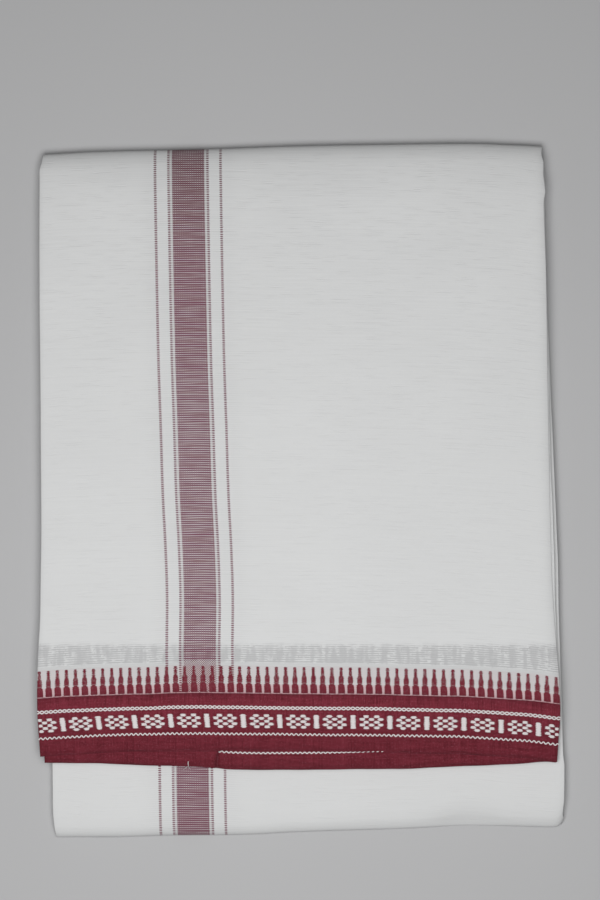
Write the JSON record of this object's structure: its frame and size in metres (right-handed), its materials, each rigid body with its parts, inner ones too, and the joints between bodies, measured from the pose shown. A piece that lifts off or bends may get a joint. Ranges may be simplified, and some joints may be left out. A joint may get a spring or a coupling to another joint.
{
  "type": "folded dhoti cloth",
  "caption": "Cotton dhoti folded into a flat rectangular packet: white field, woven maroon temple border, one weft stripe band near the tucked cut end.",
  "frame": {"origin": "centre of the packet's box on the plane it rests on", "axes": "+Y runs up the front from the bottom fold to the top fold, +Z out of the front face, +X to the right of someone looking down at the front"},
  "size_m": [0.2562, 0.3381, 0.014],
  "materials": {
    "white_cotton": "fine plain-woven white cotton, matt with a faint sheen",
    "maroon_border": "warp-dense maroon cotton border with off-white supplementary figuring, matt"
  },
  "bodies": {
    "root": {"front_flap": "white_cotton", "front_border": "maroon_border", "turned_end": "maroon_border", "second_border": "maroon_border", "lower_front": "white_cotton", "back_panel": "white_cotton", "inner_folds": "white_cotton"}
  },
  "joints": []
}
